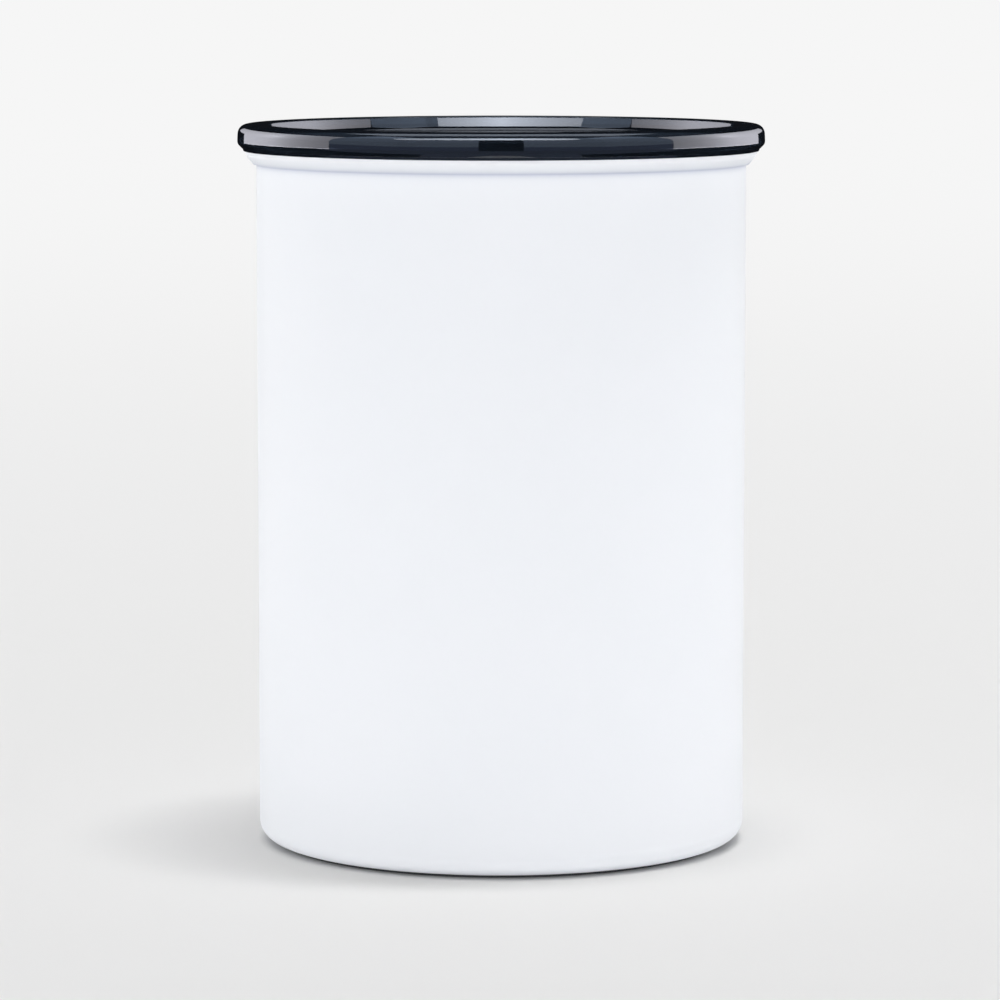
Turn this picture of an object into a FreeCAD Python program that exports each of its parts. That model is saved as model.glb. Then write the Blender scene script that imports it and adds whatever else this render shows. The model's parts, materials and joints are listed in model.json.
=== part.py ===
"""Coffee canister with a press-down inner lid and a vent valve, one solid per piece, in millimetres.

+Z is up and the origin is the middle of the base, on the surface that the canister stands on.
The folded handle points to the front, which is -Y.
"""

import FreeCAD
import Part
import math
import os

V = FreeCAD.Vector
UP = V(0, 0, 1)
RIGHT = V(1, 0, 0)
AXIS_POINT = V(0, 0, 0)

# Canister shell: one drawn steel sheet
total_height = 178.0
body_diameter = 120.7
sheet = 0.8
base_corner = 4.4  # outside radius between the wall and the base
base_land = 2.5  # flat left between the ring and the slope around the raised panel
base_panel_rise = 1.6
base_panel_run = 2.5  # width of the slope around the raised panel
base_panel_bend = 1.2
bead_height = 7.4  # from the crease under the rolled rim to the rim's top
bead_overhang = 2.65  # how far the rolled rim stands out from the wall
bead_slope = 40.0  # degrees between the rolled rim's underside and the wall
bead_bend = 1.8  # outside radius between the rolled rim's face and its underside
curl_gap = 0.12  # between the wall and the sheet's rolled edge

# Base ring
ring_thickness = 0.7
ring_width = 8.6
ring_inset = 0.35  # from the end of the base corner to the ring's outer edge
ring_round = 0.25

# Outer lid
lid_wall = 1.7
lid_side_gap = 0.3  # between the skirt and the rolled rim
lid_seat_gap = 0.2  # between the lid's channel and the top of the rolled rim
lid_top_thickness = 2.2
lid_skirt_depth = 6.45
lid_disc_thickness = 2.0
lid_recess_depth = 3.6
lid_recess_slope = 1.45  # run of the sloped wall around the recess
lid_recess_wall = 1.6  # between the recess and the plug's outer face
lid_plug_gap = 0.35  # between the plug and the can's inner wall
lid_top_round = 2.3
lid_recess_round = 0.6
lid_floor_round = 1.8  # between the recess's wall and its floor
lid_lean = 4.5  # degrees by which the skirt's upper half leans inwards
lid_lean_height = 3.25  # above the skirt's lower edge
lid_lean_round = 24.0
lid_chamfer = 1.15  # on the skirt's lower edge
lid_chamfer_round = 0.8
lid_lip_height = 0.6  # of the thin lip under that chamfer
lid_lip_root = 0.45
lid_lip_edge = 0.25
lid_plug_chamfer = 0.8

# Plunger plate
plate_floor = 2.4
plate_wall = 2.0
plate_wall_height = 14.0
plate_lip_thickness = 2.0
plate_lip_gap = 0.9  # between the plate's top lip and the can's wall
plate_round = 2.0
lip_round = 0.6
boss_radius = 3.4
boss_height = 6.0
boss_floor = 1.4  # left under a screw's blind hole

# Wiper gasket and its retainer
gasket_gap = 0.3  # between the relaxed lips and the can's wall
gasket_reach = 3.65  # how far the lips stand out of the clamped ring
gasket_clamp_width = 5.6
gasket_thickness = 3.0
gasket_lip = 1.0
gasket_lip_rise = 1.2
gasket_lip_round = 0.35
gasket_step = 0.4  # how far the clamped ring stands out past the plate
retainer_thickness = 2.0
retainer_land = 8.0  # width of the land that meets the plate
retainer_land_gap = 0.3  # between the land and the gasket
retainer_round = 0.5

# Screws
screw_radius = 1.45
screw_head_radius = 2.7
screw_head_height = 1.8
screw_gap = 0.05
screw_recess_width = 0.7
screw_recess_depth = 0.9
retainer_screw_count = 6
housing_screw_count = 4
housing_screw_turn = 45.0  # of the first one, from +X

# Vent valve
seat_radius = 9.4  # middle of the raised seat
seat_width = 1.6
seat_height = 1.2
seat_gap = 0.05  # between the closed seal and the seat
vent_count = 8
vent_radius = 1.5
poppet_edge = 0.6  # left around the seal's recess
poppet_thickness = 2.4
poppet_round = 0.5
seal_width = 3.8
seal_thickness = 1.4
seal_recess = 0.6
seal_gap = 0.1
tail_radius = 2.0
tail_length = 7.0
tail_bevel = 0.5
stem_radius = 2.8
guide_gap = 0.05
valve_travel = 3.0
spring_length = 8.0
spring_wire = 0.9
spring_play = 1.3  # between the coil and the upper stem guide
spring_turns = 4
spring_seat_gap = 0.03
gap_points = 48  # points on a turn of the coil, where its gap is measured

# Valve housing
tower_margin = 0.4  # around the ears' feet
tower_wall = 2.0
tower_top = 2.4
tower_round = 0.8
guide_boss_wall = 1.8
guide_boss_depth = 2.5
flange_width = 7.0
flange_thickness = 2.5
flange_round = 0.8
window_count = 6
window_width = 6.0
window_height = 6.0
window_sill = 3.6
ear_thickness = 3.0
ear_radius = 4.4
ear_foot = 0.5  # how far an ear's foot is sunk in the turret's top

# Lift button
button_radius = 8.2
button_thickness = 2.6
button_round = 0.8
button_screw_length = 9.0
cam_gap = 0.2  # between the cams and the button

# Handle
pin_radius = 2.0
pin_gap = 0.05
pin_fit = 0.02
pin_head_radius = 3.2
pin_head_thickness = 1.4
pin_head_round = 0.5
cam_base_radius = 4.0
cam_stem_gap = 1.4  # between the stem and the cams
cam_steps = 8  # spans between the points of a cam's flank
cam_back_angle = 135.0  # where the back of the lobe meets the base circle
hub_top_gap = 0.5  # between the hubs and the turret's top
arm_gap = 0.5  # between the button and the arms
arm_width = 4.0
arm_play = 0.3  # between an arm and its ear
arm_straight = 4.1  # how far the arms run past the ears before they spread
handle_reach = 34.0  # from the pivot to the middle of the grip
handle_width = 52.0  # between the middles of the outer arms
handle_bar = 5.0
handle_thickness = 5.0
handle_side = 14.5  # length of the outer arms
handle_corner = 7.0
handle_round = 1.5

# Rest position
raised_handle_gap = 1.2  # between the raised handle and the lid


def main_sizes():
    """Radii and heights that several pieces share."""
    s = {}
    s["wall_outer"] = body_diameter / 2
    s["wall_inner"] = s["wall_outer"] - sheet
    s["rim_top"] = total_height - lid_top_thickness - lid_seat_gap
    s["crease"] = s["rim_top"] - bead_height
    s["bead_outer"] = s["wall_outer"] + bead_overhang
    s["ring_outer"] = s["wall_outer"] - base_corner - ring_inset
    s["lid_underside"] = total_height - lid_recess_depth - lid_disc_thickness
    s["plate_outer"] = s["wall_inner"] - gasket_gap - gasket_reach
    s["gasket_inner"] = s["plate_outer"] + gasket_step - gasket_clamp_width
    s["land_outer"] = s["gasket_inner"] - retainer_land_gap
    s["retainer_circle"] = s["land_outer"] - retainer_land / 2
    s["hub_inner"] = button_radius + arm_gap
    s["hub_outer"] = s["hub_inner"] + arm_width
    s["ear_inner"] = s["hub_outer"] + arm_play
    s["ear_outer"] = s["ear_inner"] + ear_thickness
    s["cam_inner"] = stem_radius + cam_stem_gap
    s["tower"] = math.hypot(s["ear_outer"], ear_radius) + tower_margin
    s["flange_outer"] = s["tower"] + flange_width
    s["housing_circle"] = s["tower"] + flange_width / 2
    s["guide_boss"] = stem_radius + guide_gap + guide_boss_wall
    s["spring"] = s["guide_boss"] + spring_play + spring_wire / 2
    s["poppet"] = seat_radius + seal_width / 2 + seal_gap + poppet_edge
    s["vent_circle"] = (tail_radius + seat_radius - seat_width / 2) / 2

    # Heights above the top of the plate's floor
    seal_bottom = seat_height + seat_gap
    s["seal_bottom"] = seal_bottom
    s["poppet_bottom"] = seal_bottom + seal_thickness - seal_recess
    s["poppet_top"] = s["poppet_bottom"] + poppet_thickness
    s["ceiling"] = s["poppet_top"] + spring_length
    s["tower_height"] = s["ceiling"] + tower_top
    s["pivot"] = s["tower_height"] + hub_top_gap + cam_base_radius
    s["button_bottom"] = s["pivot"] + cam_base_radius + cam_gap
    s["gasket_bottom"] = -plate_floor - gasket_thickness
    s["retainer_bottom"] = s["gasket_bottom"] - retainer_thickness
    s["handle_tip"] = s["pivot"] + handle_reach + handle_bar / 2

    # The plunger rests as high as the raised handle can stand under the lid
    s["plate"] = s["lid_underside"] - raised_handle_gap - s["handle_tip"]
    return s


S = main_sizes()


def rounded_wire(corners, plane):
    """Closed wire through corners (a, b, radius), each rounded by a tangent arc where it has a radius."""
    points = [V(c[0], c[1], 0) for c in corners]
    radii = [c[2] if len(c) > 2 else 0 for c in corners]
    ends = []
    for i, point in enumerate(points):
        radius = radii[i]
        if radius == 0:
            ends.append((point, None, point))
            continue
        before = (points[i - 1] - point).normalize()
        after = (points[(i + 1) % len(points)] - point).normalize()
        half = before.getAngle(after) / 2
        reach = radius / math.tan(half)
        middle = (before + after).normalize() * (radius / math.sin(half) - radius)
        ends.append((point + before * reach, point + middle, point + after * reach))
    edges = []
    for i, (start, middle, end) in enumerate(ends):
        if middle is not None:
            edges.append(Part.Arc(plane(start), plane(middle), plane(end)).toShape())
        following = ends[(i + 1) % len(ends)][0]
        if (following - end).Length > 1e-6:
            edges.append(Part.LineSegment(plane(end), plane(following)).toShape())
    return Part.Wire(edges)


def turned(corners, height=0.0):
    """Solid of revolution about Z from corners (radius, z, rounding), raised by height."""
    wire = rounded_wire(corners, lambda p: V(p.x, 0, p.y + height))
    return Part.Face(wire).revolve(AXIS_POINT, UP, 360)


def ring_places(count, radius, first=0.0):
    """Points spread evenly on a circle about Z."""
    turns = [math.radians(first + 360.0 * i / count) for i in range(count)]
    return [V(radius * math.cos(t), radius * math.sin(t), 0) for t in turns]


def pillar(place, radius, bottom, top):
    """Upright cylinder through a place, between two heights above the plate's floor."""
    return Part.makeCylinder(radius, top - bottom, V(place.x, place.y, S["plate"] + bottom), UP)


def screw(place, seat, length, way):
    """Pan-head screw with a cross recess. The head sits at the seat, and way is the shank's direction."""
    base = V(place.x, place.y, S["plate"] + seat)
    head_top = base - way * screw_head_height
    shank = Part.makeCylinder(screw_radius, length, base, way)
    head = Part.makeCylinder(screw_head_radius, screw_head_height, head_top, way)
    rim = [e for e in head.Edges if e.Closed and (e.CenterOfMass - head_top).Length < 1e-6]
    head = head.makeFillet(screw_head_height / 2, rim)
    for across in (RIGHT, V(0, 1, 0)):
        side = across.cross(way)
        corner = head_top - across * screw_head_radius / 2 - side * screw_recess_width / 2
        outline = [corner, corner + across * screw_head_radius]
        outline += [p + side * screw_recess_width for p in reversed(outline)]
        slot = Part.Face(Part.makePolygon(outline + [corner])).extrude(way * screw_recess_depth)
        head = head.cut(slot)
    return head.fuse(shank).removeSplitter()


def canister_shell():
    """Drawn can: raised base panel, rounded base corner, straight wall and outward curl."""
    outer, inner = S["wall_outer"], S["wall_inner"]
    foot = ring_thickness
    panel = foot + base_panel_rise
    slope_end = S["ring_outer"] - ring_width - base_land
    slope_start = slope_end - base_panel_run
    steep = math.atan2(base_panel_rise, base_panel_run)
    shift = sheet * math.tan(steep / 2)
    curl = (S["bead_outer"] - inner) / 2
    edge = outer + curl_gap
    slope = math.radians(bead_slope)
    tip = edge + sheet * math.cos(slope)
    slope_top = S["crease"] + (S["bead_outer"] - tip) / math.tan(slope)
    bead_inner = S["bead_outer"] - sheet
    return turned([
        (0, panel),
        (slope_start, panel, base_panel_bend),
        (slope_end, foot, base_panel_bend + sheet),
        (outer, foot, base_corner),
        (outer, S["rim_top"] - sheet, curl - sheet),
        (bead_inner, S["rim_top"] - sheet, curl - sheet),
        (bead_inner, slope_top + sheet * math.tan(slope / 2), bead_bend - sheet),
        (edge, S["crease"] + sheet * math.sin(slope)),
        (tip, S["crease"]),
        (S["bead_outer"], slope_top, bead_bend),
        (S["bead_outer"], S["rim_top"], curl),
        (inner, S["rim_top"], curl),
        (inner, foot + sheet, base_corner - sheet),
        (slope_end + shift, foot + sheet, base_panel_bend),
        (slope_start + shift, panel + sheet, base_panel_bend + sheet),
        (0, panel + sheet),
    ])


def base_ring():
    outer = S["ring_outer"]
    inner = outer - ring_width
    return turned([
        (inner, 0, ring_round),
        (outer, 0, ring_round),
        (outer, ring_thickness),
        (inner, ring_thickness),
    ])


def outer_lid():
    """Moulded lid: recessed disc, raised rim over the rolled edge, leaning skirt, chamfer and thin lip."""
    skirt_inner = S["bead_outer"] + lid_side_gap
    skirt_outer = skirt_inner + lid_wall
    lower = total_height - lid_skirt_depth
    lip_top = lower + lid_lip_height
    lean_start = lower + lid_lean_height
    lean_run = (total_height - lean_start) * math.tan(math.radians(lid_lean))
    plug = S["wall_inner"] - lid_plug_gap
    recess_top = plug - lid_recess_wall
    recess_bottom = recess_top - lid_recess_slope
    channel = S["rim_top"] + lid_seat_gap
    disc = total_height - lid_recess_depth
    return turned([
        (0, disc),
        (recess_bottom, disc, lid_floor_round),
        (recess_top, total_height, lid_recess_round),
        (skirt_outer - lean_run, total_height, lid_top_round),
        (skirt_outer, lean_start, lid_lean_round),
        (skirt_outer, lip_top + lid_chamfer, lid_chamfer_round),
        (skirt_outer - lid_chamfer, lip_top),
        (skirt_inner + lid_lip_root, lip_top),
        (skirt_inner + lid_lip_edge, lower),
        (skirt_inner, lower),
        (skirt_inner, channel),
        (plug, channel),
        (plug, S["lid_underside"] + lid_plug_chamfer),
        (plug - lid_plug_chamfer, S["lid_underside"]),
        (0, S["lid_underside"]),
    ])


def plunger_plate():
    """Dish with the valve seat, vents and stem guide in its middle, and bosses for the screws."""
    outer = S["plate_outer"]
    lip = S["wall_inner"] - plate_lip_gap
    seat_inner = seat_radius - seat_width / 2
    seat_outer = seat_radius + seat_width / 2
    plate = turned([
        (tail_radius + guide_gap, -plate_floor),
        (outer, -plate_floor),
        (outer, plate_wall_height - plate_lip_thickness),
        (lip, plate_wall_height - plate_lip_thickness, lip_round),
        (lip, plate_wall_height, lip_round),
        (outer - plate_wall, plate_wall_height, lip_round),
        (outer - plate_wall, 0, plate_round),
        (seat_outer, 0),
        (seat_outer, seat_height),
        (seat_inner, seat_height),
        (seat_inner, 0),
        (tail_radius + guide_gap, 0),
    ], S["plate"])
    hole = screw_radius + screw_gap
    for place in ring_places(retainer_screw_count, S["retainer_circle"]):
        plate = plate.fuse(pillar(place, boss_radius, 0, boss_height))
        plate = plate.cut(pillar(place, hole, -plate_floor, boss_height - boss_floor))
    housing_boss = S["retainer_bottom"]
    for place in ring_places(housing_screw_count, S["housing_circle"], housing_screw_turn):
        plate = plate.fuse(pillar(place, boss_radius, housing_boss, -plate_floor))
        plate = plate.cut(pillar(place, hole, housing_boss + boss_floor, 0))
    for place in ring_places(vent_count, S["vent_circle"]):
        plate = plate.cut(pillar(place, vent_radius, -plate_floor, 0))
    return plate.removeSplitter()


def wiper_gasket():
    """Clamped ring with one lip up and one lip down."""
    root = S["plate_outer"] + gasket_step
    tip = S["wall_inner"] - gasket_gap
    top = -plate_floor
    bottom = S["gasket_bottom"]
    return turned([
        (S["gasket_inner"], bottom),
        (root, bottom),
        (tip, bottom - gasket_lip_rise, gasket_lip_round),
        (tip, bottom - gasket_lip_rise + gasket_lip, gasket_lip_round),
        (root + gasket_lip, (top + bottom) / 2, gasket_lip_round),
        (tip, top + gasket_lip_rise - gasket_lip, gasket_lip_round),
        (tip, top + gasket_lip_rise, gasket_lip_round),
        (root, top),
        (S["gasket_inner"], top),
    ], S["plate"])


def gasket_retainer():
    """Ring with a land against the plate and a flange under the gasket."""
    land_inner = S["land_outer"] - retainer_land
    ring = turned([
        (land_inner, S["retainer_bottom"], retainer_round),
        (S["plate_outer"], S["retainer_bottom"], retainer_round),
        (S["plate_outer"], S["gasket_bottom"]),
        (S["land_outer"], S["gasket_bottom"]),
        (S["land_outer"], -plate_floor),
        (land_inner, -plate_floor),
    ], S["plate"])
    for place in ring_places(retainer_screw_count, S["retainer_circle"]):
        ring = ring.cut(pillar(place, screw_radius + screw_gap, S["retainer_bottom"], -plate_floor))
    return ring


def retainer_screws():
    length = -S["retainer_bottom"] + boss_height - boss_floor - screw_gap
    places = ring_places(retainer_screw_count, S["retainer_circle"])
    return Part.makeCompound([screw(p, S["retainer_bottom"], length, UP) for p in places])


def housing_screws():
    length = flange_thickness - S["retainer_bottom"] - boss_floor - screw_gap
    places = ring_places(housing_screw_count, S["housing_circle"], housing_screw_turn)
    return Part.makeCompound([screw(p, flange_thickness, length, -UP) for p in places])


def valve_housing():
    """Turret with a flange, air windows, the upper stem guide and two ears for the handle."""
    bore = stem_radius + guide_gap
    boss = S["guide_boss"]
    tower = S["tower"]
    cavity = tower - tower_wall
    body = turned([
        (cavity, 0),
        (S["flange_outer"], 0),
        (S["flange_outer"], flange_thickness, flange_round),
        (tower, flange_thickness, flange_round),
        (tower, S["tower_height"], tower_round),
        (bore, S["tower_height"]),
        (bore, S["ceiling"] - guide_boss_depth),
        (boss, S["ceiling"] - guide_boss_depth),
        (boss, S["ceiling"]),
        (cavity, S["ceiling"], tower_round),
    ], S["plate"])
    through = 2 * tower_wall
    corner = V(tower - (tower_wall + through) / 2, -window_width / 2, S["plate"] + window_sill)
    for i in range(window_count):
        window = Part.makeBox(through, window_width, window_height, corner)
        window.rotate(AXIS_POINT, UP, 360.0 * i / window_count)
        body = body.cut(window)
    for place in ring_places(housing_screw_count, S["housing_circle"], housing_screw_turn):
        body = body.cut(pillar(place, screw_radius + screw_gap, 0, flange_thickness))
    for side in (-1, 1):
        body = body.fuse(ear(side))
    return body.removeSplitter()


def ear(side):
    """Upright lug with a hole for the pivot pin."""
    near = min(side * S["ear_inner"], side * S["ear_outer"])
    foot = S["plate"] + S["tower_height"] - ear_foot
    pivot = S["plate"] + S["pivot"]
    lug = Part.makeBox(ear_thickness, 2 * ear_radius, pivot - foot, V(near, -ear_radius, foot))
    lug = lug.fuse(Part.makeCylinder(ear_radius, ear_thickness, V(near, 0, pivot), RIGHT))
    return lug.cut(Part.makeCylinder(pin_radius + pin_fit, ear_thickness, V(near, 0, pivot), RIGHT))


def valve_stem():
    """Poppet disc with a recess for its seal, a guided tail below and the stem above."""
    bottom = S["poppet_bottom"]
    seal_inner = seat_radius - seal_width / 2 - seal_gap
    seal_outer = seat_radius + seal_width / 2 + seal_gap
    stem = turned([
        (0, bottom - tail_length),
        (tail_radius, bottom - tail_length, tail_bevel),
        (tail_radius, bottom),
        (seal_inner, bottom),
        (seal_inner, bottom + seal_recess),
        (seal_outer, bottom + seal_recess),
        (seal_outer, bottom),
        (S["poppet"], bottom),
        (S["poppet"], S["poppet_top"], poppet_round),
        (stem_radius, S["poppet_top"]),
        (stem_radius, S["button_bottom"]),
        (0, S["button_bottom"]),
    ], S["plate"])
    depth = S["button_bottom"] + button_thickness - button_screw_length - screw_gap
    return stem.cut(pillar(V(0, 0, 0), screw_radius + screw_gap, depth, S["button_bottom"]))


def valve_seal():
    inner = seat_radius - seal_width / 2
    outer = seat_radius + seal_width / 2
    top = S["seal_bottom"] + seal_thickness
    corners = [(inner, S["seal_bottom"]), (outer, S["seal_bottom"]), (outer, top), (inner, top)]
    return turned(corners, S["plate"])


def lift_button():
    """Flat-bottomed cap that the cams push up."""
    bottom = S["button_bottom"]
    hole = screw_radius + screw_gap
    return turned([
        (hole, bottom),
        (button_radius, bottom),
        (button_radius, bottom + button_thickness, button_round),
        (hole, bottom + button_thickness),
    ], S["plate"])


def button_screw():
    return screw(V(0, 0, 0), S["button_bottom"] + button_thickness, button_screw_length, -UP)


def arc_points(start, way, end):
    """Start, middle and end of the arc that leaves start along way."""
    chord = end - start
    along = V(chord).normalize()
    aside = (way - along * way.dot(along)).normalize()
    bulge = chord.Length / 2 * math.tan(way.getAngle(along) / 2)
    return start, start + chord / 2 + aside * bulge, end


def biarc(start, start_way, end, end_way):
    """Two tangent arcs from one point and direction to another."""
    chord = end - start
    spare = 2 * (1 - start_way.dot(end_way))
    along = chord.dot(start_way + end_way)
    reach = (math.sqrt(along * along + spare * chord.dot(chord)) - along) / spare
    joint = (start + end + (start_way - end_way) * reach) / 2
    first = arc_points(start, start_way, joint)
    second = arc_points(end, -end_way, joint)
    return [Part.Arc(*first).toShape(), Part.Arc(*reversed(second)).toShape()]


def valve_spring():
    """Open coil between the poppet and the turret's ceiling, as one pipe on quarter-turn biarcs."""
    start = S["plate"] + S["poppet_top"] + spring_wire / 2 + spring_seat_gap
    rise = spring_length - spring_wire - 2 * spring_seat_gap
    climb = rise / (spring_turns * 2 * math.pi)
    radius = S["spring"]

    def place(turn):
        return V(radius * math.cos(turn), radius * math.sin(turn), start + climb * turn)

    def way(turn):
        return V(-radius * math.sin(turn), radius * math.cos(turn), climb).normalize()

    quarters = [math.pi / 2 * i for i in range(4 * spring_turns + 1)]
    edges = []
    for here, there in zip(quarters, quarters[1:]):
        edges += biarc(place(here), way(here), place(there), way(there))
    path = Part.Wire(edges)
    ring = Part.Wire(Part.makeCircle(spring_wire / 2, place(0), way(0)))
    points = path.discretize(Number=spring_turns * gap_points + 1)
    spans = [(a - b).Length for i, a in enumerate(points) for b in points[i + gap_points // 2:]]
    print("least gap between the spring's turns:", round(min(spans) - spring_wire, 2), "mm")
    return path.makePipeShell([ring], True, False)


def cam(side):
    """Lobe under the button. Its flat-follower lift grows evenly with the handle's angle."""
    rate = valve_travel / (math.pi / 2)
    near = min(side * S["cam_inner"], side * S["hub_inner"])
    pivot = S["plate"] + S["pivot"]

    def outline(turn):
        height = cam_base_radius + rate * turn
        y = -height * math.sin(turn) - rate * math.cos(turn)
        z = height * math.cos(turn) - rate * math.sin(turn)
        return V(near, y, pivot + z)

    def on_base(degrees):
        turn = math.radians(degrees)
        return V(near, -cam_base_radius * math.sin(turn), pivot + cam_base_radius * math.cos(turn))

    flank = Part.BSplineCurve()
    flank.interpolate([outline(math.pi / 2 * i / cam_steps) for i in range(cam_steps + 1)])
    edges = [
        Part.LineSegment(on_base(0), outline(0)).toShape(),
        flank.toShape(),
        Part.LineSegment(outline(math.pi / 2), on_base(cam_back_angle)).toShape(),
        Part.Arc(on_base(cam_back_angle), on_base(270), on_base(360)).toShape(),
    ]
    return Part.Face(Part.Wire(edges)).extrude(RIGHT * (S["hub_inner"] - S["cam_inner"]))


def handle():
    """Folding bail: two hubs, spreading arms, a grip bar, and a cam on the inside of each hub."""
    pivot = S["plate"] + S["pivot"]
    inner, outer = S["hub_inner"], S["hub_outer"]
    wide = handle_width / 2
    half = handle_bar / 2
    tip = handle_reach + half
    spread_start = ear_radius + arm_straight
    shoulder = handle_reach - handle_side
    right_side = [
        (inner, 0),
        (outer, 0),
        (outer, -spread_start, handle_corner),
        (wide + half, -shoulder, handle_corner),
        (wide + half, -tip, handle_corner),
    ]
    right_inside = [
        (wide - half, -tip + handle_bar, handle_corner - half),
        (wide - half, -shoulder - half, handle_corner - half),
        (inner, -spread_start - half, handle_corner - half),
    ]
    corners = right_side + mirrored(right_side) + mirrored(right_inside) + right_inside
    wire = rounded_wire(corners, lambda p: V(p.x, p.y, pivot - handle_thickness / 2))
    bail = Part.Face(wire).extrude(UP * handle_thickness)
    flat_edges = [e for e in bail.Edges if abs(abs(e.CenterOfMass.z - pivot) - handle_thickness / 2) < 1e-6]
    bail = bail.makeFillet(handle_round, flat_edges)
    for side in (-1, 1):
        near = min(side * inner, side * outer)
        bail = bail.fuse(Part.makeCylinder(cam_base_radius, arm_width, V(near, 0, pivot), RIGHT))
        bail = bail.fuse(cam(side))
    bore = Part.makeCylinder(pin_radius + pin_gap, 2 * outer, V(-outer, 0, pivot), RIGHT)
    return bail.cut(bore).removeSplitter()


def mirrored(corners):
    """The same corners on the left, in reverse order."""
    return [(-c[0],) + c[1:] for c in reversed(corners)]


def pivot_pin(side):
    """Headed pin, pressed into its ear, that the hub turns on."""
    pivot = S["plate"] + S["pivot"]
    way = RIGHT * side
    head_start = way * S["ear_outer"] + V(0, 0, pivot)
    shank = Part.makeCylinder(pin_radius, S["ear_outer"] - S["cam_inner"], head_start, -way)
    head = Part.makeCylinder(pin_head_radius, pin_head_thickness, head_start, way)
    face = head_start + way * pin_head_thickness
    rim = [e for e in head.Edges if e.Closed and (e.CenterOfMass - face).Length < 1e-6]
    return head.makeFillet(pin_head_round, rim).fuse(shank).removeSplitter()


PIECES = {
    "canister_shell": canister_shell,
    "base_ring": base_ring,
    "outer_lid": outer_lid,
    "plunger_plate": plunger_plate,
    "wiper_gasket": wiper_gasket,
    "gasket_retainer": gasket_retainer,
    "retainer_screws": retainer_screws,
    "valve_housing": valve_housing,
    "housing_screws": housing_screws,
    "valve_stem": valve_stem,
    "valve_seal": valve_seal,
    "valve_spring": valve_spring,
    "lift_button": lift_button,
    "button_screw": button_screw,
    "handle": handle,
    "pivot_pin_left": lambda: pivot_pin(-1),
    "pivot_pin_right": lambda: pivot_pin(1),
}

os.makedirs("parts", exist_ok=True)
for node, make in PIECES.items():
    make().exportStep("parts/" + node + ".step")
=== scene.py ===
import json
import math

import bpy
from mathutils import Matrix, Vector


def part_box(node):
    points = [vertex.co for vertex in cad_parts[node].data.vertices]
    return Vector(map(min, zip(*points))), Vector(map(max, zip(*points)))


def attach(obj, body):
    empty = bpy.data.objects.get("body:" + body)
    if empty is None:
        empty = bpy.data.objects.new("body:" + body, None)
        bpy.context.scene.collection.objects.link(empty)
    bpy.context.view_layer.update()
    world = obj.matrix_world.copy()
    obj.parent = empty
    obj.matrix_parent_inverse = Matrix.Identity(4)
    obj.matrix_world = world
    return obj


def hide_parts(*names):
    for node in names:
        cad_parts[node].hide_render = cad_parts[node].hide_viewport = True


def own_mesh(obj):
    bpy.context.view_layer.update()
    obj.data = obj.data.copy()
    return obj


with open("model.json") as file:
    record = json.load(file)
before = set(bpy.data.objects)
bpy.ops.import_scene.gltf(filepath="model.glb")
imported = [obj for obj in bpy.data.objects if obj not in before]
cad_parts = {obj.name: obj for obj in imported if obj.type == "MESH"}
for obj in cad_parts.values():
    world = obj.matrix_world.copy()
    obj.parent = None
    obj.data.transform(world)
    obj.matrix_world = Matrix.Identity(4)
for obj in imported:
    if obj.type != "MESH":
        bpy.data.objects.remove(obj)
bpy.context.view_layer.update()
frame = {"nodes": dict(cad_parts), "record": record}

# Coffee canister: a white can with a smoke-plastic lid, and the press-down inner lid inside it.
# Sizes of the pieces are in millimetres, and those of the studio around them are in metres.
MM = 0.001
AXIS = Vector((0, 0, 1))
ORIGIN = Vector((0, 0, 0))

# Where the frame puts the pieces that are modelled here, in millimetres
shell_low, shell_high = (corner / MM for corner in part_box("canister_shell"))
lid_low, lid_high = (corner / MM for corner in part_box("outer_lid"))
spring_low, spring_high = (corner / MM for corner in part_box("valve_spring"))

# Can body: one drawn steel sheet
sheet = 0.8
bead_overhang = 2.65  # how far the rolled rim stands out from the wall
bead_height = 7.4  # from the crease under the rolled rim to its top
bead_slope = math.radians(40)  # between the rolled rim's underside and the wall
bead_bend = 1.8
curl_gap = 0.12  # between the wall and the sheet's rolled edge
base_corner = 4.4
panel_rise = 1.6  # of the raised panel in the base
panel_edge = 44.5  # radius where the slope around that panel starts
panel_run = 2.5
panel_bend = 1.2
edge_round = 0.2  # on the sheet's cut edge
crease_shade_reach = 0.56  # reach of the painted shade above and below the crease under the rolled rim

# Lid
lid_wall = 1.7
lid_top = 2.2  # thickness over the rolled rim
plug_radius = 59.2
plug_chamfer = 0.8
recess_depth = 3.6
recess_wall = 1.6
recess_slope = 1.45
recess_round = 0.6
floor_round = 1.8  # between the recess's wall and its floor
disc_thickness = 2.0
lid_top_round = 2.3
lid_lean = math.radians(4.5)  # by which the skirt's upper half leans inwards
lean_height = 3.25  # above the skirt's lower edge
lean_round = 24.0
chamfer = 1.15  # on the skirt's lower edge
chamfer_round = 1.4
chamfer_end_round = 0.35
lip_height = 0.6  # of the thin lip under that chamfer
lip_root = 0.4
lip_edge = 0.25
lip_round = 0.08
fine_round = 0.25  # on the moulding's other edges

# Valve spring
spring_wire = 0.9
spring_turns = 4
wire_sides = 16
coil_steps = 48  # on each turn

# Studio, in metres
room_light = 0.12  # from above and below
band_light = 5.0  # from the horizon
band_height = 0.25  # sine of the elevation where that band ends
band_lean = 0.03  # by how much the left is brighter and the right dimmer
dull_light = 0.45  # from the mirrored cards to dull surfaces
paper_tone = "#F6F6F6"
floor_tone = "#DDDDDD"
floor_radius = 9.0
floor_sides = 96
floor_share = 0.62  # of paper in the floor where it is densest; the rest is clear, as on a light table
floor_middle = (0, -0.1, 0)
fade_distance = 0.78  # over which that share falls to a third
pressed_radius = 0.058  # under the can the paper lies tight and nothing shines through
pressed_edge = 0.006
key_place = (0.15, -0.02, 2.0)
key_width = 0.52
key_depth = 0.16
key_brightness = 109.0
table_lamp_place = (0, 0, -0.03)
table_lamp_size = 0.42
table_lamp_brightness = 0.68

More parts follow.
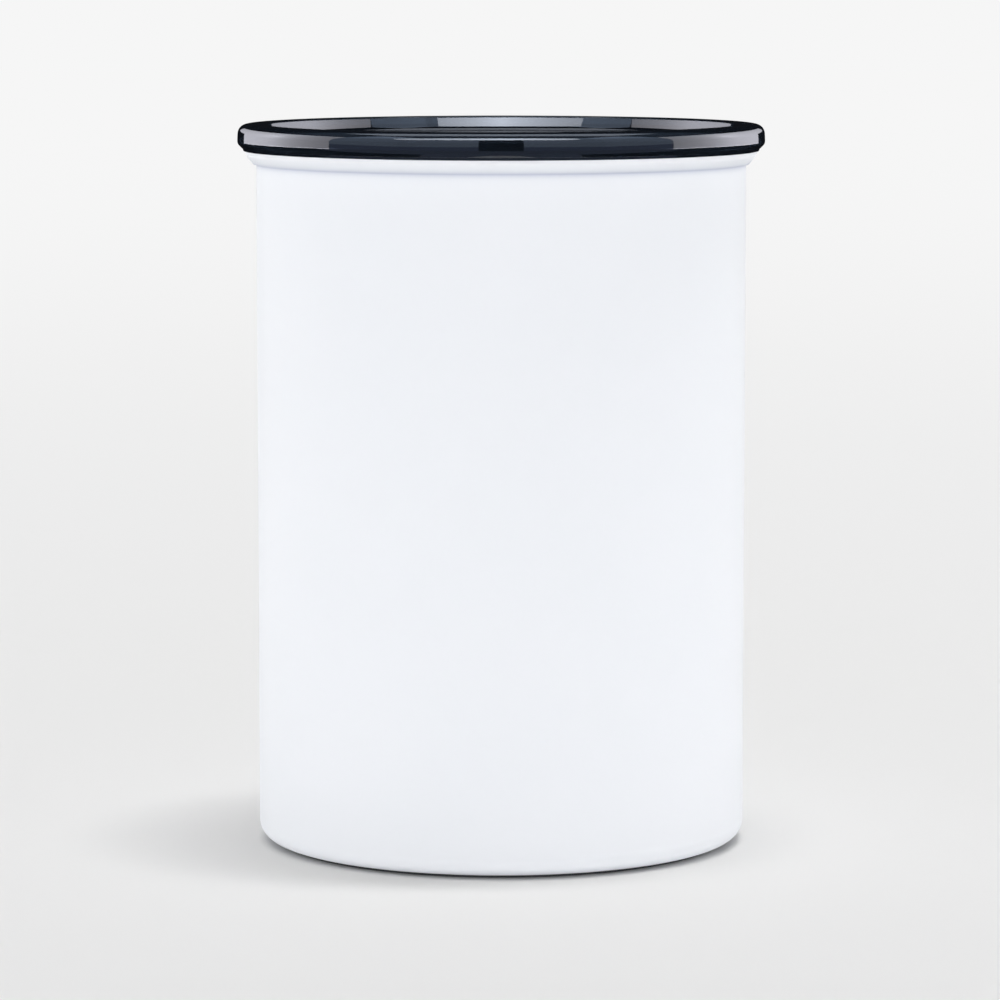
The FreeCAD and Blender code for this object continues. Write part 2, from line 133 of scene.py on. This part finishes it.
# Camera, in metres, with its lens and sensor in millimetres
camera_place = (0, -1.18535, 0.21866)
camera_tilt = math.radians(6.45)  # downwards
camera_lens = 172.65
camera_sensor = 36
camera_shift = -0.0012  # share of the picture's width

# Cards that the lid mirrors, in metres from the can's axis and from the table
even_reach = 100  # so far that a card is lit evenly
wall_distance = 2.07
wall_middle = 3.63  # how far back the middle of the side walls and the table's edges lies
wall_length = 8.1
wall_height = 1.6
wall_hot_place = (-2.63, -0.1, 0)  # where a wall is brightest, from its middle
table_gap = 0.07  # half the width that the table's dark edges leave for the can
table_half_width = 2.05
edge_level = 0.002  # the table's cards lie a little over the floor, each at its own level
front_distance = 3.0  # of the front cards, which are twice as wide
side_end = 0.6  # how far in front of the axis the cards at their sides end
low_card_height = 0.28
cloth_height = 4.5
front_gap = 0.062  # between the axis and the table in front
front_level = 0.003
middle_level = 0.0002
box_place = (-0.27, -1.25, 1.32)
box_width = 2.45
box_depth = 0.57
box_tilt = math.radians(48)
box_corner = 0.27
ceiling_place = (0, 0.7, 3.1)
ceiling_width = 3.2
ceiling_depth = 1.8
camera_card_distance = 1.3
camera_card_width = 0.43
camera_card_height = 0.9
low_back_distance = 2.0
low_back_width = 2.35
low_back_height = 0.32
back_distance = 9.0
back_height = 9.0
dark_ceiling_place = (0, 3.0, 4.9)
dark_width = 24.0

# Mesh settings
TURN_STEPS = 256
ARC_STEP = math.radians(8)
LEAST_STEPS = 4  # on each round
CORNER_STEPS = 10  # on each card's corner
SMOOTH_ANGLE = math.radians(28)
MERGE_DISTANCE = 0.002  # in millimetres
FACING_IN = -0.9  # cosine to the outward way, below which a face belongs to the can's inner wall


def linear(code):
    """sRGB hex code as a linear colour."""
    channels = [int(code[i:i + 2], 16) / 255 for i in (1, 3, 5)]
    return [c / 12.92 if c <= 0.04045 else ((c + 0.055) / 1.055) ** 2.4 for c in channels] + [1.0]


def add(tree, kind, inputs=None, **settings):
    """Adds a node. inputs maps an input's name or number to a value or to another node's output."""
    node = tree.nodes.new("ShaderNode" + kind)
    for name, value in settings.items():
        setattr(node, name, value)
    for key, value in (inputs or {}).items():
        if isinstance(value, bpy.types.NodeSocket):
            tree.links.new(value, node.inputs[key])
        else:
            node.inputs[key].default_value = value
    return node


def new_material(name):
    """Empty material, its node tree and its output node."""
    material = bpy.data.materials.new(name)
    material.use_nodes = True
    material.node_tree.nodes.clear()
    return material, material.node_tree, add(material.node_tree, "OutputMaterial")


def per_mm(size):
    """Texture scale for a feature of this size in millimetres, on coordinates in metres."""
    return 1 / (size * MM)


def powder_coat():
    """White satin powder coat, baked on steel: soft sheen over a fine, even orange peel.

    A soft grey line of painted shade darkens the coat at the crease under the rolled rim, on the wall below
    it and the rim's lowest edge.
    """
    material, tree, out = new_material("white powder coat")
    place = add(tree, "TexCoord").outputs["Object"]
    cloud = add(tree, "TexNoise", {"Vector": place, "Scale": per_mm(35), "Detail": 2})
    tone = add(tree, "Mix", {
        "Factor": cloud.outputs["Fac"], "A": linear("#EEF1F6"), "B": linear("#F1F3F8"),
    }, data_type="RGBA")
    # Painted shade: the coat turns blue-grey at the crease under the rolled rim and fades back to white with
    # the distance above or below it
    height = add(tree, "SeparateXYZ", {"Vector": place}).outputs["Z"]
    crease = (shell_high.z - bead_height) * MM
    away = add(tree, "Math", {0: height, 1: crease}, operation="SUBTRACT")
    reach = add(tree, "Math", {0: away.outputs[0]}, operation="ABSOLUTE")
    ratio = add(tree, "Math", {0: reach.outputs[0], 1: -crease_shade_reach * MM}, operation="DIVIDE")
    thin = add(tree, "Math", {0: ratio.outputs[0]}, operation="EXPONENT")
    tone_with_painted_shade = add(tree, "Mix", {
        "Factor": thin.outputs[0], "A": tone.outputs["Result"], "B": linear("#BBC1D1"),
    }, data_type="RGBA")
    # Orange peel is about 0.8 mm across. It is drawn at 1.2 mm, because finer peel is lost between pixels
    peel = add(tree, "TexNoise", {"Vector": place, "Scale": per_mm(1.2), "Detail": 3, "Roughness": 0.55})
    bump = add(tree, "Bump", {"Height": peel.outputs["Fac"], "Strength": 0.12, "Distance": 0.03 * MM})
    gloss = add(tree, "MapRange", {"Value": peel.outputs["Fac"], "To Min": 0.5, "To Max": 0.62})
    coat = add(tree, "BsdfPrincipled", {
        "Base Color": tone_with_painted_shade.outputs["Result"], "Roughness": gloss.outputs["Result"], "IOR": 1.5,
        "Normal": bump.outputs["Normal"],
    })
    tree.links.new(coat.outputs[0], out.inputs["Surface"])
    return material


def satin_steel():
    """Bare stainless steel inside the can, satin from drawing: fine lines around the wall and the base."""
    material, tree, out = new_material("satin stainless steel")
    place = add(tree, "TexCoord").outputs["Object"]
    split = add(tree, "SeparateXYZ", {"Vector": place})
    flat = add(tree, "VectorMath", {0: place, 1: (1, 1, 0)}, operation="MULTIPLY")
    radius = add(tree, "VectorMath", {0: flat.outputs["Vector"]}, operation="LENGTH")
    along = add(tree, "CombineXYZ", {"X": radius.outputs["Value"], "Y": split.outputs["Z"]})
    # Drawing lines are about 0.05 mm apart. They are drawn at 0.4 mm so that they show
    lines = add(tree, "TexNoise", {"Vector": along.outputs["Vector"], "Scale": per_mm(0.4), "Detail": 4})
    tone = add(tree, "Mix", {
        "Factor": lines.outputs["Fac"], "A": linear("#B4B3AF"), "B": linear("#CFCECA"),
    }, data_type="RGBA")
    gloss = add(tree, "MapRange", {"Value": lines.outputs["Fac"], "To Min": 0.26, "To Max": 0.4})
    bump = add(tree, "Bump", {"Height": lines.outputs["Fac"], "Strength": 0.15, "Distance": 0.01 * MM})
    steel = add(tree, "BsdfPrincipled", {
        "Base Color": tone.outputs["Result"], "Metallic": 0.6, "Roughness": gloss.outputs["Result"],
        "Normal": bump.outputs["Normal"],
    })
    tree.links.new(steel.outputs[0], out.inputs["Surface"])
    return material


def smoke_plastic():
    """Polished smoke polystyrene: mirror-like, dark, a little blue and hardly see-through."""
    material, tree, out = new_material("smoke polystyrene")
    place = add(tree, "TexCoord").outputs["Object"]
    # Moulded plastic ripples by a few hundredths of a millimetre over 20 mm, which bends what it mirrors
    ripple = add(tree, "TexNoise", {"Vector": place, "Scale": per_mm(22), "Detail": 1})
    bump = add(tree, "Bump", {"Height": ripple.outputs["Fac"], "Strength": 0.1, "Distance": 0.1 * MM})
    flow = add(tree, "TexNoise", {"Vector": place, "Scale": per_mm(30), "Detail": 3})
    tone = add(tree, "Mix", {
        "Factor": flow.outputs["Fac"], "A": linear("#232C36"), "B": linear("#29323E"),
    }, data_type="RGBA")
    smoke = add(tree, "BsdfPrincipled", {
        "Base Color": tone.outputs["Result"], "Roughness": 0.003, "IOR": 1.59,
        "Transmission Weight": 0.8, "Normal": bump.outputs["Normal"],
    })
    tree.links.new(smoke.outputs[0], out.inputs["Surface"])
    return material


def moulded_rubber():
    """Black nitrile rubber: matt, with the fine grain of its mould."""
    material, tree, out = new_material("nitrile rubber")
    place = add(tree, "TexCoord").outputs["Object"]
    grain = add(tree, "TexNoise", {"Vector": place, "Scale": per_mm(0.5), "Detail": 3})
    tone = add(tree, "Mix", {
        "Factor": grain.outputs["Fac"], "A": linear("#26282B"), "B": linear("#34363A"),
    }, data_type="RGBA")
    bump = add(tree, "Bump", {"Height": grain.outputs["Fac"], "Strength": 0.3, "Distance": 0.04 * MM})
    rubber = add(tree, "BsdfPrincipled", {
        "Base Color": tone.outputs["Result"], "Roughness": 0.75, "IOR": 1.52,
        "Normal": bump.outputs["Normal"],
    })
    tree.links.new(rubber.outputs[0], out.inputs["Surface"])
    return material


def textured_plastic():
    """Charcoal polypropylene with a spark-eroded grain: even, dry sheen and faintly sparkling pits."""
    material, tree, out = new_material("grained polypropylene")
    place = add(tree, "TexCoord").outputs["Object"]
    # The grain is about 0.15 mm. It is drawn at 0.45 mm so that it shows
    grain = add(tree, "TexVoronoi", {"Vector": place, "Scale": per_mm(0.45)}, feature="SMOOTH_F1")
    cloud = add(tree, "TexNoise", {"Vector": place, "Scale": per_mm(18), "Detail": 3})
    tone = add(tree, "Mix", {
        "Factor": cloud.outputs["Fac"], "A": linear("#303236"), "B": linear("#3A3C40"),
    }, data_type="RGBA")
    gloss = add(tree, "MapRange", {"Value": grain.outputs["Distance"], "To Min": 0.38, "To Max": 0.56})
    bump = add(tree, "Bump", {"Height": grain.outputs["Distance"], "Strength": 0.25, "Distance": 0.05 * MM})
    plastic = add(tree, "BsdfPrincipled", {
        "Base Color": tone.outputs["Result"], "Roughness": gloss.outputs["Result"], "IOR": 1.49,
        "Normal": bump.outputs["Normal"],
    })
    tree.links.new(plastic.outputs[0], out.inputs["Surface"])
    return material


def silicone():
    """Translucent grey silicone: soft glow inside, dull skin with a trace of dust."""
    material, tree, out = new_material("grey silicone")
    place = add(tree, "TexCoord").outputs["Object"]
    dust = add(tree, "TexNoise", {"Vector": place, "Scale": per_mm(3), "Detail": 5})
    tone = add(tree, "Mix", {
        "Factor": dust.outputs["Fac"], "A": linear("#B7BABD"), "B": linear("#C8CACB"),
    }, data_type="RGBA")
    gloss = add(tree, "MapRange", {"Value": dust.outputs["Fac"], "To Min": 0.45, "To Max": 0.62})
    gum = add(tree, "BsdfPrincipled", {
        "Base Color": tone.outputs["Result"], "Roughness": gloss.outputs["Result"], "IOR": 1.41,
        "Subsurface Weight": 0.35, "Subsurface Radius": (1.0, 1.0, 1.0), "Subsurface Scale": 1.5 * MM,
    })
    tree.links.new(gum.outputs[0], out.inputs["Surface"])
    return material


def acetal():
    """Natural white acetal: waxy, a little warm, with a faint grain."""
    material, tree, out = new_material("natural acetal")
    place = add(tree, "TexCoord").outputs["Object"]
    cloud = add(tree, "TexNoise", {"Vector": place, "Scale": per_mm(5), "Detail": 3})
    tone = add(tree, "Mix", {
        "Factor": cloud.outputs["Fac"], "A": linear("#DEDCD5"), "B": linear("#E7E6E1"),
    }, data_type="RGBA")
    grain = add(tree, "TexNoise", {"Vector": place, "Scale": per_mm(0.4), "Detail": 2})
    bump = add(tree, "Bump", {"Height": grain.outputs["Fac"], "Strength": 0.12, "Distance": 0.03 * MM})
    wax = add(tree, "BsdfPrincipled", {
        "Base Color": tone.outputs["Result"], "Roughness": 0.4, "IOR": 1.48, "Normal": bump.outputs["Normal"],
        "Subsurface Weight": 0.2, "Subsurface Radius": (1.0, 0.95, 0.85), "Subsurface Scale": 0.8 * MM,
    })
    tree.links.new(wax.outputs[0], out.inputs["Surface"])
    return material


def turned_steel():
    """Turned stainless fasteners and wire: bright, with small marks from the tool."""
    material, tree, out = new_material("turned stainless steel")
    place = add(tree, "TexCoord").outputs["Object"]
    marks = add(tree, "TexNoise", {"Vector": place, "Scale": per_mm(0.6), "Detail": 4})
    tone = add(tree, "Mix", {
        "Factor": marks.outputs["Fac"], "A": linear("#BDBCB8"), "B": linear("#D8D7D4"),
    }, data_type="RGBA")
    gloss = add(tree, "MapRange", {"Value": marks.outputs["Fac"], "To Min": 0.18, "To Max": 0.34})
    steel = add(tree, "BsdfPrincipled", {
        "Base Color": tone.outputs["Result"], "Metallic": 1.0, "Roughness": gloss.outputs["Result"],
    })
    tree.links.new(steel.outputs[0], out.inputs["Surface"])
    return material


def rounded(corners):
    """Outline through corners (radius, height, rounding), with each round as short straight steps."""
    points = [Vector(c[:2]) for c in corners]
    outline = []
    for i, corner in enumerate(points):
        rounding = corners[i][2] if len(corners[i]) > 2 else 0
        if rounding == 0:
            outline.append(corner)
            continue
        before = (points[i - 1] - corner).normalized()
        after = (points[i + 1] - corner).normalized()
        half = before.angle(after) / 2
        centre = corner + (before + after).normalized() * (rounding / math.sin(half))
        start = corner + before * (rounding / math.tan(half)) - centre
        turn = math.copysign(math.pi - 2 * half, after.cross(before))
        steps = max(LEAST_STEPS, math.ceil(abs(turn) / ARC_STEP))
        for k in range(steps + 1):
            outline.append(centre + Matrix.Rotation(turn * k / steps, 2) @ start)
    return outline


def turned(name, corners):
    """Turned piece: a point is extruded along the outline, and the outline is spun about the can's axis."""
    outline = [Vector((p.x, 0, p.y)) * MM for p in rounded(corners)]
    bpy.ops.object.select_all(action="DESELECT")
    bpy.ops.mesh.primitive_plane_add(size=MM, location=ORIGIN)
    piece = bpy.context.object
    piece.name = piece.data.name = name
    bpy.ops.object.mode_set(mode="EDIT")
    bpy.ops.mesh.merge(type="CENTER")
    bpy.ops.transform.translate(value=outline[0])
    for here, there in zip(outline, outline[1:]):
        bpy.ops.mesh.extrude_vertices_move(TRANSFORM_OT_translate={"value": there - here})
    bpy.ops.mesh.select_all(action="SELECT")
    bpy.ops.mesh.spin(steps=TURN_STEPS, angle=2 * math.pi, center=ORIGIN, axis=AXIS)
    bpy.ops.mesh.select_all(action="SELECT")
    bpy.ops.mesh.remove_doubles(threshold=MERGE_DISTANCE * MM)
    bpy.ops.mesh.normals_make_consistent(inside=False)
    bpy.ops.object.mode_set(mode="OBJECT")
    bpy.ops.object.shade_smooth_by_angle(angle=SMOOTH_ANGLE)
    even = piece.modifiers.new("even shading", "WEIGHTED_NORMAL")
    even.keep_sharp = True
    bpy.ops.object.modifier_apply(modifier=even.name)
    return piece


def can_body(coat, steel):
    """Drawn can: raised base panel, rounded base corner, straight wall and outward curl."""
    bead = shell_high.x
    outer = bead - bead_overhang
    inner = outer - sheet
    foot, top = shell_low.z, shell_high.z
    crease = top - bead_height
    panel = foot + panel_rise
    slope_end = panel_edge - panel_run
    shift = sheet * math.tan(math.atan2(panel_rise, panel_run) / 2)
    curl = (bead - inner) / 2
    edge = outer + curl_gap
    tip = edge + sheet * math.cos(bead_slope)
    slope_top = crease + (bead - tip) / math.tan(bead_slope)
    body = turned("can_body", [
        (0, panel),
        (slope_end, panel, panel_bend),
        (panel_edge, foot, panel_bend + sheet),
        (outer, foot, base_corner),
        (outer, top - sheet, curl - sheet),
        (bead - sheet, top - sheet, curl - sheet),
        (bead - sheet, slope_top + sheet * math.tan(bead_slope / 2), bead_bend - sheet),
        (edge, crease + sheet * math.sin(bead_slope), edge_round),
        (tip, crease, edge_round),
        (bead, slope_top, bead_bend),
        (bead, top, curl),
        (inner, top, curl),
        (inner, foot + sheet, base_corner - sheet),
        (panel_edge + shift, foot + sheet, panel_bend),
        (slope_end + shift, panel + sheet, panel_bend + sheet),
        (0, panel + sheet),
    ])
    body.data.materials.append(coat)
    body.data.materials.append(steel)
    middle = (outer + inner) / 2 * MM
    for face in body.data.polygons:
        out = Vector((face.center.x, face.center.y, 0))
        faces_in = face.normal.dot(out.normalized()) < FACING_IN
        on_floor = face.normal.z > 0 and face.center.z < (foot + base_corner) * MM
        if out.length < middle and (faces_in or on_floor):
            face.material_index = 1
    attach(body, "canister")
    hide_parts("canister_shell")


def smoke_lid(smoke):
    """Moulded lid: recessed disc, raised rim over the rolled edge, leaning skirt, chamfer and thin lip."""
    outer = lid_high.x
    skirt_inner = outer - lid_wall
    top, lower = lid_high.z, lid_low.z
    lip_top = lower + lip_height
    lean_start = lower + lean_height
    lean_run = (top - lean_start) * math.tan(lid_lean)
    recess_top = plug_radius - recess_wall
    recess_bottom = recess_top - recess_slope
    disc = top - recess_depth
    underside = disc - disc_thickness
    lid = turned("smoke_lid", [
        (0, disc),
        (recess_bottom, disc, floor_round),
        (recess_top, top, recess_round),
        (outer - lean_run, top, lid_top_round),
        (outer, lean_start, lean_round),
        (outer, lip_top + chamfer, chamfer_round),
        (outer - chamfer, lip_top, chamfer_end_round),
        (skirt_inner + lip_root, lip_top),
        (skirt_inner + lip_edge, lower, lip_round),
        (skirt_inner, lower, lip_round),
        (skirt_inner, top - lid_top, fine_round),
        (plug_radius, top - lid_top, fine_round),
        (plug_radius, underside + plug_chamfer, fine_round),
        (plug_radius - plug_chamfer, underside, fine_round),
        (0, underside),
    ])
    lid.data.materials.append(smoke)
    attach(lid, "lid")
    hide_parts("outer_lid")


def valve_coil(steel):
    """Open coil that closes the valve: a wire section wound up the stem."""
    radius = spring_high.x - spring_wire / 2
    rise = spring_high.z - spring_low.z - spring_wire
    start = spring_low.z + spring_wire / 2
    bpy.ops.object.select_all(action="DESELECT")
    bpy.ops.mesh.primitive_circle_add(vertices=wire_sides, radius=spring_wire / 2 * MM, fill_type="NGON",
                                      location=ORIGIN, rotation=(math.pi / 2, 0, 0))
    coil = bpy.context.object
    coil.name = coil.data.name = "valve_coil"
    bpy.ops.object.transform_apply(rotation=True)
    bpy.ops.object.mode_set(mode="EDIT")
    bpy.ops.transform.translate(value=Vector((radius, 0, start)) * MM)
    bpy.ops.object.mode_set(mode="OBJECT")
    winding = coil.modifiers.new("winding", "SCREW")
    winding.axis = "Z"
    winding.screw_offset = rise / spring_turns * MM
    winding.iterations = spring_turns
    winding.steps = winding.render_steps = coil_steps
    bpy.ops.object.modifier_apply(modifier=winding.name)
    bpy.ops.object.mode_set(mode="EDIT")
    bpy.ops.mesh.select_all(action="SELECT")
    bpy.ops.mesh.fill_holes(sides=0)
    bpy.ops.mesh.select_all(action="SELECT")
    bpy.ops.mesh.normals_make_consistent(inside=False)
    bpy.ops.object.mode_set(mode="OBJECT")
    bpy.ops.object.shade_smooth_by_angle(angle=SMOOTH_ANGLE)
    coil.data.materials.append(steel)
    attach(coil, "plunger")
    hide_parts("valve_spring")
    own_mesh(coil)


def card_finish(name, tint, glow, reach=even_reach, hot_place=ORIGIN):
    """Cloth or paper of a studio card, half as bright at the reach from its hot place, in metres.

    Its own glow shows only in a mirror-like polish that is looked at. Duller surfaces get a plain grey.
    """
    material, tree, out = new_material(name)
    place = add(tree, "TexCoord").outputs["Object"]
    away = add(tree, "VectorMath", {0: place, 1: hot_place}, operation="DISTANCE")
    fall = add(tree, "Math", {0: away.outputs["Value"], 1: 1 / reach, 2: 1.0}, operation="MULTIPLY_ADD")
    strength = add(tree, "Math", {0: glow, 1: fall.outputs[0]}, operation="DIVIDE")
    own = add(tree, "Emission", {"Color": linear(tint), "Strength": strength.outputs[0]})
    plain = add(tree, "Emission", {"Color": linear(paper_tone), "Strength": dull_light})
    path = add(tree, "LightPath").outputs
    # Bounces are whole numbers, so less than a half is none
    bounces = add(tree, "Math", {0: path["Diffuse Depth"], 1: path["Transmission Depth"]}, operation="ADD")
    looked_at = add(tree, "Math", {0: bounces.outputs[0], 1: 0.5}, operation="LESS_THAN")
    polished = add(tree, "Math", {0: looked_at.outputs[0], 1: path["Is Singular Ray"]}, operation="MULTIPLY")
    both = add(tree, "MixShader", {0: polished.outputs[0], 1: plain.outputs[0], 2: own.outputs[0]})
    tree.links.new(both.outputs[0], out.inputs["Surface"])
    return material


def mirror_card(name, finish, centre, width, height, turn, corner=0):
    """Card that shows only in mirrors, with rounded corners if corner is above zero. Sizes are in metres."""
    bpy.ops.object.select_all(action="DESELECT")
    bpy.ops.mesh.primitive_plane_add(size=1, location=centre, rotation=turn)
    card = bpy.context.object
    card.name = name
    card.scale = (width, height, 1)
    bpy.ops.object.transform_apply(location=False, rotation=False, scale=True)
    if corner > 0:
        bpy.ops.object.mode_set(mode="EDIT")
        bpy.ops.mesh.select_all(action="SELECT")
        bpy.ops.mesh.bevel(offset=corner, segments=CORNER_STEPS, affect="VERTICES")
        bpy.ops.object.mode_set(mode="OBJECT")
    card.data.materials.append(finish)
    card.visible_camera = card.visible_diffuse = card.visible_transmission = card.visible_shadow = False


def mirror_cards():
    """What the lid mirrors: lit side walls, a soft box over the camera, grey in front and black behind."""
    flat = (0, 0, 0)
    upright = (math.pi / 2, 0, 0)
    sideways = (math.pi / 2, 0, math.pi / 2)
    wall = card_finish("side wall cloth", "#F4F4FF", glow=6.0, reach=1.0, hot_place=wall_hot_place)
    black = card_finish("black card", "#C0CCE6", glow=0.012)
    edge_middle = (table_gap + table_half_width) / 2
    for side, name in ((-1, "left"), (1, "right")):
        mirror_card(name + "_wall", wall, (side * wall_distance, wall_middle, wall_height / 2),
                    wall_length, wall_height, sideways)
        mirror_card(name + "_table_edge", black, (side * edge_middle, wall_middle, edge_level),
                    table_half_width - table_gap, wall_length, flat)
    box = card_finish("soft box cloth", "#E8F0FF", glow=12.0, reach=1.0, hot_place=(-box_place[0], 0, 0))
    mirror_card("soft_box", box, box_place, box_width, box_depth, (box_tilt, 0, 0), box_corner)
    ceiling = card_finish("ceiling paper", "#E8F0FF", glow=2.2, reach=4.0)
    mirror_card("ceiling", ceiling, ceiling_place, ceiling_width, ceiling_depth, flat)
    cloth = card_finish("blue-grey cloth", "#C6DAF8", glow=2.6, reach=3.0, hot_place=(0, cloth_height / 2, 0))
    grey = card_finish("grey card", "#BCCFFF", glow=0.5)
    cloth_middle = low_card_height + cloth_height / 2
    side_middle = (front_distance + side_end) / 2
    side_length = front_distance - side_end
    for name, place, width, turn in (
        ("front", (0, -front_distance), 2 * front_distance, upright),
        ("left_front", (-front_distance, -side_middle), side_length, sideways),
        ("right_front", (front_distance, -side_middle), side_length, sideways),
    ):
        mirror_card(name + "_card", grey, place + (low_card_height / 2,), width, low_card_height, turn)
        mirror_card(name + "_cloth", cloth, place + (cloth_middle,), width, cloth_height, turn)
    table = card_finish("table cloth", "#C6D6FF", glow=0.36)
    mirror_card("front_table", table, (0, -(front_distance + front_gap) / 2, front_level),
                2 * front_distance, front_distance - front_gap, flat)
    mirror_card("middle_table", table, (0, 0, middle_level), 2 * table_gap, 2 * front_gap, flat)
    mirror_card("camera_card", black, (0, -camera_card_distance, camera_card_height / 2),
                camera_card_width, camera_card_height, upright)
    mirror_card("low_back_card", black, (0, low_back_distance, low_back_height / 2),
                low_back_width, low_back_height, upright)
    mirror_card("back_cloth", black, (0, back_distance, back_height / 2), dark_width, back_height, upright)
    mirror_card("dark_ceiling", black, dark_ceiling_place, dark_width, dark_width, flat)


def surroundings():
    """Pale surroundings: lit mostly from the horizon, and near-white where they are seen or mirrored."""
    world = bpy.data.worlds.new("studio")
    bpy.context.scene.world = world
    world.use_nodes = True
    tree = world.node_tree
    tree.nodes.clear()
    path = add(tree, "LightPath")
    mirrored = add(tree, "Math", {0: path.outputs["Is Glossy Ray"], 1: path.outputs["Is Transmission Ray"]},
                   operation="MAXIMUM")
    seen = add(tree, "Math", {0: path.outputs["Is Camera Ray"], 1: mirrored.outputs[0]}, operation="MAXIMUM")
    way = add(tree, "SeparateXYZ", {"Vector": add(tree, "TexCoord").outputs["Generated"]})
    rise = add(tree, "Math", {0: way.outputs["Z"]}, operation="ABSOLUTE")
    band = add(tree, "MapRange", {"Value": rise.outputs[0], "From Max": band_height,
                                  "To Min": band_light, "To Max": room_light})
    lean = add(tree, "Math", {0: way.outputs["X"], 1: -band_lean, 2: 1.0}, operation="MULTIPLY_ADD")
    strength = add(tree, "Math", {0: band.outputs["Result"], 1: lean.outputs[0]}, operation="MULTIPLY")
    light = add(tree, "Background", {"Color": linear("#FFFFFF"), "Strength": strength.outputs[0]})
    paper = add(tree, "Background", {"Color": linear(paper_tone), "Strength": 1.0})
    both = add(tree, "MixShader", {0: seen.outputs[0], 1: light.outputs[0], 2: paper.outputs[0]})
    add(tree, "OutputWorld", {"Surface": both.outputs[0]})


def paper_floor():
    """Thin pale paper over a light table. It thins out with distance, so that no edge of it shows."""
    material, tree, out = new_material("pale paper")
    place = add(tree, "TexCoord").outputs["Object"]
    away = add(tree, "VectorMath", {0: place, 1: floor_middle}, operation="DISTANCE").outputs["Value"]
    thinning = add(tree, "Math", {0: math.exp(-1 / fade_distance), 1: away}, operation="POWER")
    thin = add(tree, "Math", {0: thinning.outputs[0], 1: floor_share}, operation="MULTIPLY")
    radius = add(tree, "VectorMath", {0: place}, operation="LENGTH").outputs["Value"]
    tight = add(tree, "MapRange", {"Value": radius, "From Min": pressed_radius + pressed_edge,
                                   "From Max": pressed_radius})
    share = add(tree, "Math", {0: thin.outputs[0], 1: tight.outputs["Result"]}, operation="MAXIMUM")
    through = add(tree, "BsdfTransparent")
    table = add(tree, "Emission", {"Color": linear(paper_tone), "Strength": 1.0})
    seen = add(tree, "LightPath").outputs["Is Camera Ray"]
    clear = add(tree, "MixShader", {0: seen, 1: through.outputs[0], 2: table.outputs[0]})
    paper = add(tree, "BsdfDiffuse", {"Color": linear(floor_tone)})
    mixed = add(tree, "MixShader", {0: share.outputs[0], 1: clear.outputs[0], 2: paper.outputs[0]})
    tree.links.new(mixed.outputs[0], out.inputs["Surface"])
    # The table's glow is only looked at and lights nothing
    material.cycles.emission_sampling = "NONE"
    bpy.ops.object.select_all(action="DESELECT")
    bpy.ops.mesh.primitive_circle_add(vertices=floor_sides, radius=floor_radius, fill_type="NGON",
                                      location=ORIGIN)
    floor = bpy.context.object
    floor.name = "paper_floor"
    floor.data.materials.append(material)


def soft_lamp(name, place, turn, width, depth, brightness):
    """Soft rectangular lamp that isn't seen itself. Sizes are in metres."""
    bpy.ops.object.light_add(type="AREA", location=place, rotation=turn)
    lamp = bpy.context.object
    lamp.name = name
    lamp.data.shape = "RECTANGLE"
    lamp.data.size, lamp.data.size_y = width, depth
    lamp.data.energy = brightness * math.pi * width * depth
    lamp.visible_camera = lamp.visible_glossy = lamp.visible_transmission = False


def lamps():
    """One lamp overhead to the right, for the can's soft shadow to the left, and one under the table."""
    facing_down = (0, 0, 0)
    facing_up = (math.pi, 0, 0)
    soft_lamp("key_lamp", key_place, facing_down, key_width, key_depth, key_brightness)
    soft_lamp("table_lamp", table_lamp_place, facing_up, table_lamp_size, table_lamp_size,
              table_lamp_brightness)


def camera():
    """Long lens a little above the lid, aimed at the can's middle."""
    bpy.ops.object.camera_add(location=camera_place, rotation=(math.pi / 2 - camera_tilt, 0, 0))
    view = bpy.context.object
    view.data.lens = camera_lens
    view.data.sensor_width = camera_sensor
    view.data.shift_x = camera_shift
    bpy.context.scene.camera = view
    bpy.context.scene.view_settings.view_transform = "Standard"


def dress_nodes():
    """Finishes for the pieces that keep their own shape."""
    finishes = {
        "base_rubber": moulded_rubber(),
        "dark_plastic": textured_plastic(),
        "silicone": silicone(),
        "pale_plastic": acetal(),
        "stainless": turned_steel(),
    }
    for part in frame["record"]["subparts"]:
        if part["material_slot"] in finishes:
            node = frame["nodes"][part["node"]]
            node.data.materials.clear()
            node.data.materials.append(finishes[part["material_slot"]])
    return finishes


finishes = dress_nodes()
can_body(powder_coat(), satin_steel())
smoke_lid(smoke_plastic())
valve_coil(finishes["stainless"])
surroundings()
paper_floor()
mirror_cards()
lamps()
camera()
